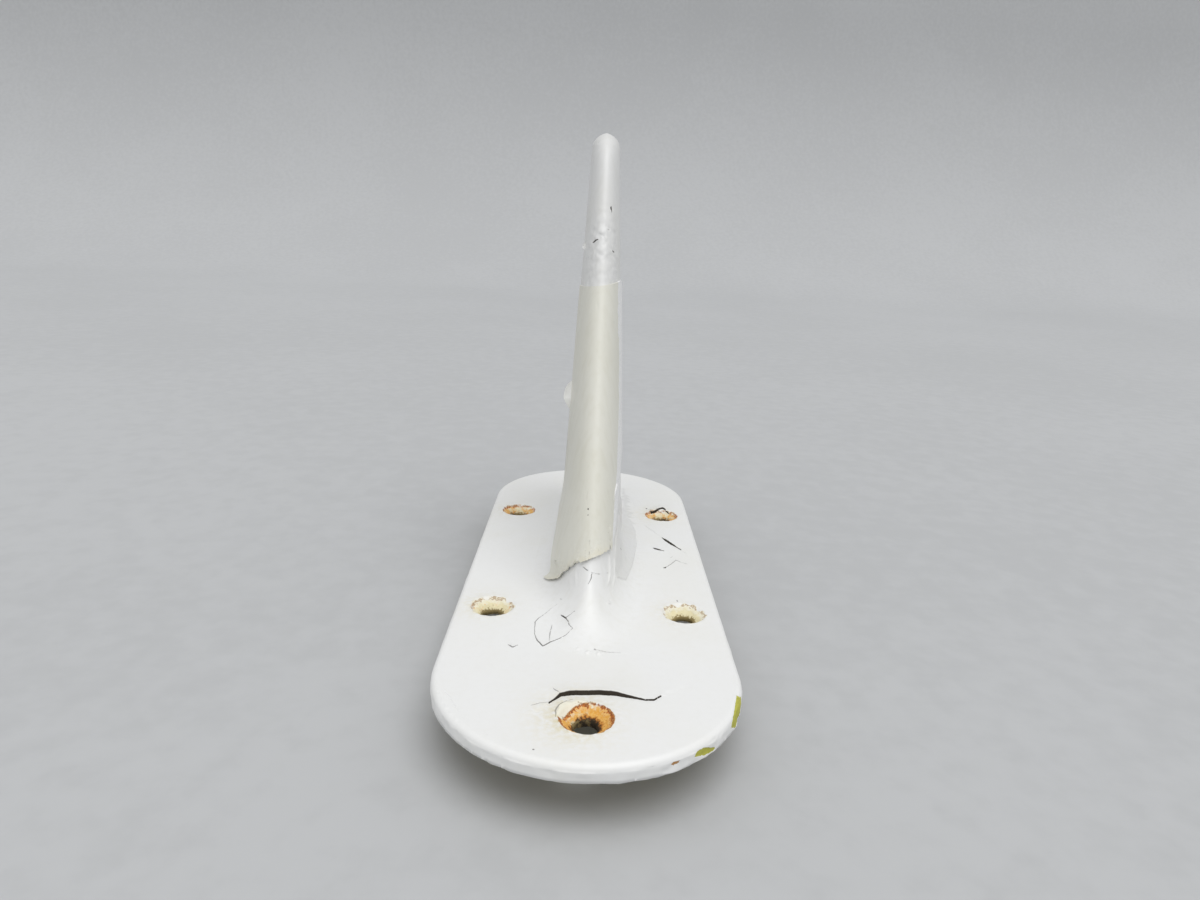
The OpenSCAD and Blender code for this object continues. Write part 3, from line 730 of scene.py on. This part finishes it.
def grained(name, light, dark, scale, gloss, metallic=0.0):
    """A plain material with fine grain."""
    material, tree, shader = new_material(name)
    inputs = {"Light": (*light, 1), "Dark": (*dark, 1), "Scale": scale, "Gloss": gloss}
    place_group(tree, shader, grained_group(), inputs, 0.05 * MM, 0.4)
    shader.inputs["Metallic"].default_value = metallic
    return material


# Pieces


class ANTENNA_OT_plate(Operator):
    """Paint the base plate, with its torn film, chipped edge and rusty holes"""

    bl_idname = "antenna.plate"
    bl_label = "Painted Plate"

    def execute(self, context):
        settings = context.scene.antenna_plate
        bm = merged_copy("base")
        low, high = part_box("base")
        for axis, spacing in enumerate((settings.grid, settings.grid, settings.grid / 4)):
            across = Vector((axis == 0, axis == 1, axis == 2))
            for i in range(1, math.ceil((high[axis] - low[axis]) / spacing)):
                cut = across * (low[axis] + i * spacing)
                everything = bm.verts[:] + bm.edges[:] + bm.faces[:]
                bmesh.ops.bisect_plane(bm, geom=everything, plane_co=cut, plane_no=across, dist=MERGE)
        bmesh.ops.triangulate(bm, faces=bm.faces)

        tree = surface_tree("base", "radome")
        lines = mark_lines(tree, PAINT_MARKS)
        rims = [self.rim(hole.place) for hole in HOLES]
        edges = [np.array(on_surface(tree, shrunk(chip.outline))) for chip in CHIPS]
        refine_marks(bm, lines, PAINT_MARKS, settings.detail)
        refine(bm, edges, 0.25 * MM, reach=1.5 * MM)
        refine(bm, rims, settings.rim_detail, reach=1.3 * MM)

        points, normals = arrays(bm)
        moved, crack = mark_surface(points, normals, lines, PAINT_MARKS)
        masks = {name: np.zeros(len(points)) for name in ("chip", "bare", "rust", "stain")}
        masks.update(crack=crack, sink=np.full(len(points), 2.0))
        self.wear_holes(points, masks)
        moved += self.chip_edges(tree, points, masks)
        moved += smear_filler(tree, points, normals, crack)
        moved += self.rough_rims(points, normals)
        move_to(bm, points + normals * moved[:, None])
        for face in bm.faces:
            below = face.normal.z < -0.9 and face.calc_center_median().z < 0.2 * MM
            face.material_index = int(below)

        paint = worn_paint("plate_paint", settings.paint, settings.undercoat, settings.primer, 0.05)
        light, dark = settings.bonding, [0.7 * share for share in settings.bonding]
        underside = grained("bonding_face", light, dark, 500, 0.5, 0.6)
        finish_piece(bm, "painted_plate", (paint, underside), masks, "painted_plate", "base")
        return {"FINISHED"}

    @staticmethod
    def rim(place):
        """A closed line round a countersink, a little inside its rim."""
        turns = np.linspace(0, math.tau, 33)
        ring = np.stack([np.cos(turns), np.sin(turns), np.zeros_like(turns)], axis=1)
        return ring * (COUNTERSINK_R - 1 * MM) + np.array([*place, PLATE_TOP])

    @staticmethod
    def wear_holes(points, masks):
        """Undercoat and rust in each countersink, how far up its wall a point is, and the stain round it."""
        for number, hole in enumerate(HOLES):
            out = points[:, :2] - np.array(hole.place)
            radius = np.linalg.norm(out, axis=1)
            turn = np.arctan2(out[:, 1], out[:, 0])
            near = radius < 2 * COUNTERSINK_R
            rim = COUNTERSINK_R - RIM_LOSS * hole.lean * bell(turn, *RIM_ARC)
            wall = (radius - BORE_R) / (rim - BORE_R)
            masks["sink"][near] = np.where(points[:, 2] > SINK_FLOOR, wall, -1)[near]
            ragged = 0.35 * MM * np.sin(5 * turn + number) + 0.25 * MM * np.sin(11 * turn + 2 * number)
            ragged += SPREAD * hole.lean * bell(turn, *SPREAD_ARC)
            inner = (points[:, 2] > 0.1 * MM) | (radius < BORE_R + 0.1 * MM)
            sunk = np.clip((COUNTERSINK_R + ragged - radius) / (0.5 * MM), 0, 1) * inner
            masks["bare"] = np.maximum(masks["bare"], hole.cream * sunk)
            crescent = 0.85 + 0.15 * np.cos(2 * turn)
            crescent -= hole.lean * PALE_SHARE * bell(turn, *PALE_ARC) * (wall < PALE_TOP)
            rusty = np.clip((rim + 0.2 * MM - radius) / (0.3 * MM), 0, 1) * inner
            masks["rust"] = np.maximum(masks["rust"], hole.rust * crescent * rusty)
            halo = np.exp(-np.clip(radius - COUNTERSINK_R, 0, None) / (3.2 * MM))
            lopsided = 0.6 + 0.4 * np.cos(turn - math.pi)
            stained = hole.stain * halo * lopsided * (points[:, 2] > PLATE_TOP - 1 * MM)
            masks["stain"] = np.maximum(masks["stain"], stained)

    @staticmethod
    def chip_edges(tree, points, masks):
        """Paint that has come off the plate's edge."""
        moved = np.zeros(len(points))
        for chip in CHIPS:
            off = seen_inside(tree, points, chip.outline)
            masks["chip"][off] = chip.primer
            masks["rust"][off] = chip.brown
            moved[off] -= CHIP_DEPTH
        return moved

    @staticmethod
    def rough_rims(points, normals):
        """Lumpy paint and corrosion at the countersinks, and the brushed lower edge of the plate."""
        moved, height = np.zeros(len(points)), points[:, 2]
        for hole in HOLES:
            radius = np.linalg.norm(points[:, :2] - np.array(hole.place), axis=1)
            near = (radius < COUNTERSINK_R + 1.2 * MM) & (height > 0.3 * MM) & (radius > BORE_R + 0.3 * MM)
            moved[near] += RIM_LUMPS * wavy(points[near], 900) + RIM_BUILD
        low_edge = (height < EDGE_TOP) & (height > -MERGE) & (np.abs(normals[:, 2]) < 0.9)
        moved[low_edge] += EDGE_WAVES * wavy(points[low_edge] * np.array((1, 1, 1.6)), 420, 5)
        return moved


class ANTENNA_OT_blade(Operator):
    """Paint the blade, with its runs, cracks and pitted leading edge"""

    bl_idname = "antenna.blade"
    bl_label = "Painted Blade"

    def execute(self, context):
        settings = context.scene.antenna_blade
        plate = context.scene.antenna_plate
        bm = merged_copy("radome")
        tree = surface_tree("base", "radome")
        lines = mark_lines(tree, PAINT_MARKS)
        rough = on_surface(tree, [ROUGH_PAINT_PIXEL])[0]
        along_edge = Vector((0, 0.4, 0.8)) * 12 * MM
        spine = np.array([rough - along_edge, rough + along_edge])
        refine_marks(bm, lines, PAINT_MARKS, settings.detail)
        refine(bm, [spine], 0.6 * MM, reach=6 * MM)
        filler = jagged(on_surface(tree, FILLER + FILLER[:1]))
        refine(bm, [filler], 0.35 * MM, reach=0.7 * MM)

        points, normals = arrays(bm)
        moved, crack = mark_surface(points, normals, lines, PAINT_MARKS)
        gap = np.linalg.norm((points - np.array(rough)) / np.array((1, 1, 1.3)), axis=1)
        brushed = np.flatnonzero(gap < 2 * ROUGH_PAINT_REACH)
        strokes = wavy(points[brushed] * np.array((0.6, 1, 1.4)), 420)
        strokes += 0.5 * wavy(points[brushed], 900, 3)
        moved[brushed] += settings.rough * strokes * bell(gap[brushed], 0, ROUGH_PAINT_REACH)
        moved += smear_filler(tree, points, normals, crack)
        # Painted shade: the blade darkens with height above the plate, through the mask of the cracks
        above = points[:, 2] - PLATE_TOP - GRIME_START
        crack = np.maximum(crack, GRIME_SHARE * np.clip(above / GRIME_RISE, 0, 1))
        move_to(bm, points + normals * moved[:, None])

        paint = worn_paint("blade_paint", plate.paint, plate.undercoat, plate.primer, 0.12)
        finish_piece(bm, "painted_blade", (paint,), {"crack": crack}, "painted_radome", "radome")
        return {"FINISHED"}


class ANTENNA_OT_boot(Operator):
    """Weather the erosion boot and lift its torn edge"""

    bl_idname = "antenna.boot"
    bl_label = "Torn Boot"

    def execute(self, context):
        settings = context.scene.antenna_boot
        bm = merged_copy("leading_edge_boot")
        tree = surface_tree("radome", "leading_edge_boot")
        tear = np.array(on_surface(tree, BOOT_TEAR))
        lines = mark_lines(tree, BOOT_MARKS, shake=0.05 * MM)
        border = np.array(on_surface(tree, BOOT_BORDER[1:]))
        side = np.array(on_surface(tree, [(u + 4, v - 4) for u, v in BOOT_SIDE]))
        refine(bm, [tear], settings.detail, reach=2.2 * MM)
        refine(bm, [side], 0.9 * MM, reach=3 * MM)
        refine(bm, [border], 0.5 * MM, reach=0.8 * MM)
        refine(bm, lines, 0.25 * MM, reach=0.4 * MM)

        points, normals = arrays(bm)
        lapped = self.lapped(points, normals)
        moved, crack = mark_surface(points, normals, lines, BOOT_MARKS)
        points = self.stand_off(self.fit_tear(points))
        gap = np.abs(measure(points, normals, tear)[0])
        points = points + normals * moved[:, None]
        edge = bell(gap, 0, 1.8 * MM)
        outward = np.zeros_like(points)
        outward[:, 0], outward[:, 1] = points[:, 0], -6 * MM
        outward /= np.linalg.norm(outward, axis=1)[:, None]
        points = points + outward * (settings.lift * edge)[:, None]
        points[:, 2] += 0.12 * MM * edge * wavy(points, 900)
        move_to(bm, points)

        # Painted shadow, with some dirt, on the downward faces along the torn edge, in the mask of the cracks
        grime = np.clip(1 - gap / (0.45 * MM), 0, 1) * (normals[:, 2] < 0.1)
        run = lines[BOOT_MARKS.index(PAINT_STREAK)]
        streak = mark_surface(points, normals, [run], [PAINT_STREAK._replace(dark=1)])[1]
        masks = {"crack": np.maximum(crack, grime), "stain": 0.3 * edge, "chip": np.maximum(streak, lapped)}
        plate = context.scene.antenna_plate
        film = worn_paint("boot_film", settings.film, plate.undercoat, plate.paint, 0.16)
        finish_piece(bm, "torn_boot", (film,), masks, "boot", "leading_edge_boot")
        return {"FINISHED"}

    @staticmethod
    def lapped(points, normals):
        """Where paint covers the boot's right side."""
        pixels = photo_pixels(points)
        across, down = np.array(BOOT_BORDER).T
        sight = points - np.array(camera_matrix().translation)
        hidden = (normals[:, 0] > 0.3) & (np.einsum("ij,ij->i", sight, normals) > 0)
        return hidden | (pixels[:, 0] > np.interp(pixels[:, 1], down, across))

    @staticmethod
    def fit_tear(points):
        """Slides the boot's lower edge along the blade until the photograph shows it where it is torn."""
        blade = surface_tree("radome")
        eye = np.array(camera_matrix().translation)
        across, down = np.array(BOOT_TEAR).T
        for _ in range(3):
            found = [blade.find_nearest(Vector(point))[:2] for point in points]
            foot, out = np.array(found)[:, 0], np.array(found)[:, 1]
            height = np.einsum("ij,ij->i", points - foot, out)
            depth = np.linalg.norm(foot - eye, axis=1)
            # What turns away from the camera stays where it is
            facing = np.clip(-4 * np.einsum("ij,ij->i", foot - eye, out) / depth, 0, 1)
            pixels = photo_pixels(points)
            columns, edge = [], []
            for column in np.arange(across[0] + 1, across[-1]):
                there = (np.abs(pixels[:, 0] - column) < 1.5) & (facing > 0.2)
                if there.any():
                    columns.append(column)
                    edge.append(pixels[there, 1].max())
            wanted = np.interp(columns, across, down) - np.array(edge)
            level = np.interp(pixels[:, 0], columns, edge)
            ease = np.clip(1 - (level - pixels[:, 1]) / TEAR_EASE, 0, 1)
            slide = np.interp(pixels[:, 0], columns, wanted, right=0) * ease**2 * (3 - 2 * ease) * facing
            moving = np.flatnonzero(np.abs(slide) > 0.01)
            points[moving, 2] -= slide[moving] * depth[moving] / photo_focal()
            for i in moving:
                foot, out = blade.find_nearest(Vector(points[i]))[:2]
                points[i] = foot + out * height[i]
        return points

    @staticmethod
    def stand_off(points):
        """Draws the boot's lower left side away from the blade, as far out as the photograph shows it."""
        across, down = np.array(BOOT_SIDE).T
        pixels = photo_pixels(points)
        depth = np.linalg.norm(points - np.array(camera_matrix().translation), axis=1)
        rows = np.arange(down[0], down[-1] + 1)
        side = np.array([pixels[np.abs(pixels[:, 1] - row) < 3, 0].min() for row in rows])
        # Smoothed over 15 rows
        side = np.convolve(np.pad(side, 7, "edge"), np.full(15, 1 / 15), "valid")
        outward = np.minimum(np.interp(rows, down, across) - side, 0)
        gap = pixels[:, 0] - np.interp(pixels[:, 1], rows, side)
        start = np.clip((pixels[:, 1] - down[0]) / SIDE_START, 0, 1)
        pull = np.interp(pixels[:, 1], rows, outward) * start * bell(gap, 0, SIDE_REACH)
        points[:, 0] += pull * depth / photo_focal()
        return points


class ANTENNA_OT_flakes(Operator):
    """Add the curled flakes of paint on the blade's left side"""

    bl_idname = "antenna.flakes"
    bl_label = "Paint Flakes"

    def execute(self, context):
        tree = surface_tree("radome", "leading_edge_boot")
        bm = bmesh.new()
        for pixels, reach in FLAKES:
            root = np.array(on_surface(tree, pixels))
            passed = np.linspace(0, 1, len(root))
            grid = bmesh.ops.create_grid(bm, x_segments=5, y_segments=16, size=0.5)["verts"]
            for vertex in grid:
                out, along = vertex.co.x + 0.5, vertex.co.y + 0.5
                width = reach * MM * math.sin(math.pi * (0.06 + 0.88 * along)) ** 0.8
                place = Vector([np.interp(along, passed, root[:, axis]) for axis in range(3)])
                curl = Vector((-1, -0.1 - 0.4 * out, 0.15 * math.sin(9 * along))) * (width * out)
                vertex.co = place + curl + Vector((0.35 * MM, 0.05 * MM, 0))
            sheet = list(dict.fromkeys(face for vertex in grid for face in vertex.link_faces))
            bmesh.ops.solidify(bm, geom=sheet, thickness=FLAKE_THICKNESS)
        bmesh.ops.recalc_face_normals(bm, faces=bm.faces)
        # solidify makes its faces in no fixed order
        bm.faces.sort(key=lambda face: face.calc_center_median().dot(Vector((1, 3, 7))))
        plate = context.scene.antenna_plate
        paint = worn_paint("flake_paint", plate.paint, plate.undercoat, plate.primer, 0.05)
        finish_piece(bm, "paint_flakes", (paint,), {}, "painted_radome")
        return {"FINISHED"}


class ANTENNA_OT_jack(Operator):
    """Plate the coaxial jack and its fixings"""

    bl_idname = "antenna.jack"
    bl_label = "Plated Jack"

    def execute(self, context):
        plating = grained("jack_plating", (0.66, 0.64, 0.58), (0.5, 0.48, 0.43), 900, 0.34, 1.0)
        insulator = grained("jack_insulator", (0.86, 0.85, 0.82), (0.78, 0.77, 0.73), 700, 0.45)
        gold = grained("contact_gold", (0.85, 0.62, 0.24), (0.7, 0.48, 0.16), 1200, 0.25, 1.0)
        finish_nodes({
            "connector_shell": plating,
            "connector_insulator": insulator,
            "connector_contact": gold,
        })
        return {"FINISHED"}


class ANTENNA_OT_inner_parts(Operator):
    """Finish the parts inside the blade"""

    bl_idname = "antenna.inner_parts"
    bl_label = "Inner Parts"

    def execute(self, context):
        steel = grained("screw_steel", (0.62, 0.61, 0.6), (0.45, 0.44, 0.43), 900, 0.38, 1.0)
        laminate = grained("laminate", (0.6, 0.46, 0.24), (0.45, 0.33, 0.15), 650, 0.55)
        brass = grained("brass_sheet", (0.78, 0.56, 0.24), (0.6, 0.41, 0.15), 300, 0.35, 1.0)
        copper = grained("copper", (0.72, 0.38, 0.22), (0.52, 0.25, 0.13), 800, 0.35, 1.0)
        finish_nodes({
            "front_block": laminate,
            "rear_block": laminate,
            "block_screws": steel,
            "board_screws": steel,
            "ground_screw": steel,
            "connector_screws": steel,
            "matching_board": grained("board", (0.13, 0.27, 0.11), (0.08, 0.18, 0.07), 500, 0.4),
            "radiator": brass,
            "radiator_rivets": brass,
            "matching_coil": copper,
            "feed_wire": copper,
            "ground_strap": copper,
            "trimmer_capacitors": grained("ceramic", (0.78, 0.73, 0.63), (0.66, 0.6, 0.5), 700, 0.6),
        })
        return {"FINISHED"}


class ANTENNA_OT_stage(Operator):
    """Set up the floor, the soft light and the photograph's camera"""

    bl_idname = "antenna.stage"
    bl_label = "Stage"

    def execute(self, context):
        settings = context.scene.antenna_stage
        self.backdrop(settings)
        self.lights(context.scene, settings)
        camera = bpy.data.cameras.new("photo_camera")
        camera.sensor_width = SENSOR_WIDTH
        camera.sensor_fit = "HORIZONTAL"
        camera.lens = settings.lens
        camera.clip_start = 5 * MM
        holder = bpy.data.objects.new("photo_camera", camera)
        holder.matrix_world = camera_matrix()
        context.scene.collection.objects.link(holder)
        context.scene.camera = holder
        context.scene.view_settings.view_transform = "Standard"
        return {"FINISHED"}

    @staticmethod
    def backdrop(settings):
        """A floor that sweeps up behind the object."""
        bm = bmesh.new()
        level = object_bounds()[0].z
        half, back, radius, height = 3, 1.2, 0.6, 2.5
        start = bm.verts.new((-half, -half, level))
        end = bm.verts.new((-half, back, level))
        floor_edge = bm.edges.new((start, end))
        sweep = bmesh.ops.spin(
            bm, geom=[end], cent=(-half, back, level + radius), axis=(1, 0, 0), angle=math.pi / 2, steps=16
        )
        top = sweep["geom_last"][0]
        wall = bmesh.ops.extrude_vert_indiv(bm, verts=[top])["verts"]
        bmesh.ops.translate(bm, verts=wall, vec=(0, 0, height))
        across = bmesh.ops.extrude_edge_only(bm, edges=bm.edges[:])
        moved = [item for item in across["geom"] if isinstance(item, bmesh.types.BMVert)]
        bmesh.ops.translate(bm, verts=moved, vec=(2 * half, 0, 0))
        bmesh.ops.recalc_face_normals(bm, faces=bm.faces)
        if floor_edge.link_faces[0].normal.z < 0:
            bmesh.ops.reverse_faces(bm, faces=bm.faces)
        mesh = bpy.data.meshes.new("backdrop")
        bm.to_mesh(mesh)
        bm.free()
        mesh.shade_smooth()
        darker = [0.94 * share for share in settings.floor]
        mesh.materials.append(grained("floor_paper", settings.floor, darker, 3, 0.8))
        floor = bpy.data.objects.new("backdrop", mesh)
        bpy.context.scene.collection.objects.link(floor)
        floor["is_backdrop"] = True

    @staticmethod
    def lights(scene, settings):
        """Even light from all round, and a broad key from above the camera."""
        world = bpy.data.worlds.new("studio")
        world.use_nodes = True
        world.node_tree.nodes["Background"].inputs["Color"].default_value = (1, 1, 1, 1)
        world.node_tree.nodes["Background"].inputs["Strength"].default_value = settings.sky
        scene.world = world
        lamp = bpy.data.lights.new("key", "SUN")
        lamp.energy = settings.sun
        lamp.angle = KEY_SPREAD
        key = bpy.data.objects.new("key", lamp)
        key.rotation_euler = Vector(KEY_FROM).to_track_quat("Z", "Y").to_euler()
        scene.collection.objects.link(key)


OPERATORS = (
    ANTENNA_OT_stage,
    ANTENNA_OT_plate,
    ANTENNA_OT_blade,
    ANTENNA_OT_boot,
    ANTENNA_OT_flakes,
    ANTENNA_OT_jack,
    ANTENNA_OT_inner_parts,
)
SETTINGS = {
    "antenna_plate": PlateSettings,
    "antenna_blade": BladeSettings,
    "antenna_boot": BootSettings,
    "antenna_stage": StageSettings,
}


class ANTENNA_PT_finish(Panel):
    """Sizes, colours and steps of the finish"""

    bl_idname = "ANTENNA_PT_finish"
    bl_label = "Blade Antenna"
    bl_space_type = "VIEW_3D"
    bl_region_type = "UI"
    bl_category = "Antenna"

    def draw(self, context):
        for name, group in SETTINGS.items():
            box = self.layout.box()
            for setting in group.__annotations__:
                box.prop(getattr(context.scene, name), setting)
        for operator in OPERATORS:
            self.layout.operator(operator.bl_idname)


CLASSES = (*SETTINGS.values(), *OPERATORS, ANTENNA_PT_finish)


def register():
    for cls in CLASSES:
        bpy.utils.register_class(cls)
    for name, group in SETTINGS.items():
        setattr(bpy.types.Scene, name, PointerProperty(type=group))


def unregister():
    for name in SETTINGS:
        delattr(bpy.types.Scene, name)
    for cls in reversed(CLASSES):
        bpy.utils.unregister_class(cls)


def main():
    register()
    bpy.ops.antenna.stage()
    bpy.ops.antenna.plate()
    bpy.ops.antenna.blade()
    bpy.ops.antenna.boot()
    bpy.ops.antenna.flakes()
    bpy.ops.antenna.jack()
    bpy.ops.antenna.inner_parts()


if __name__ == "__main__":
    main()
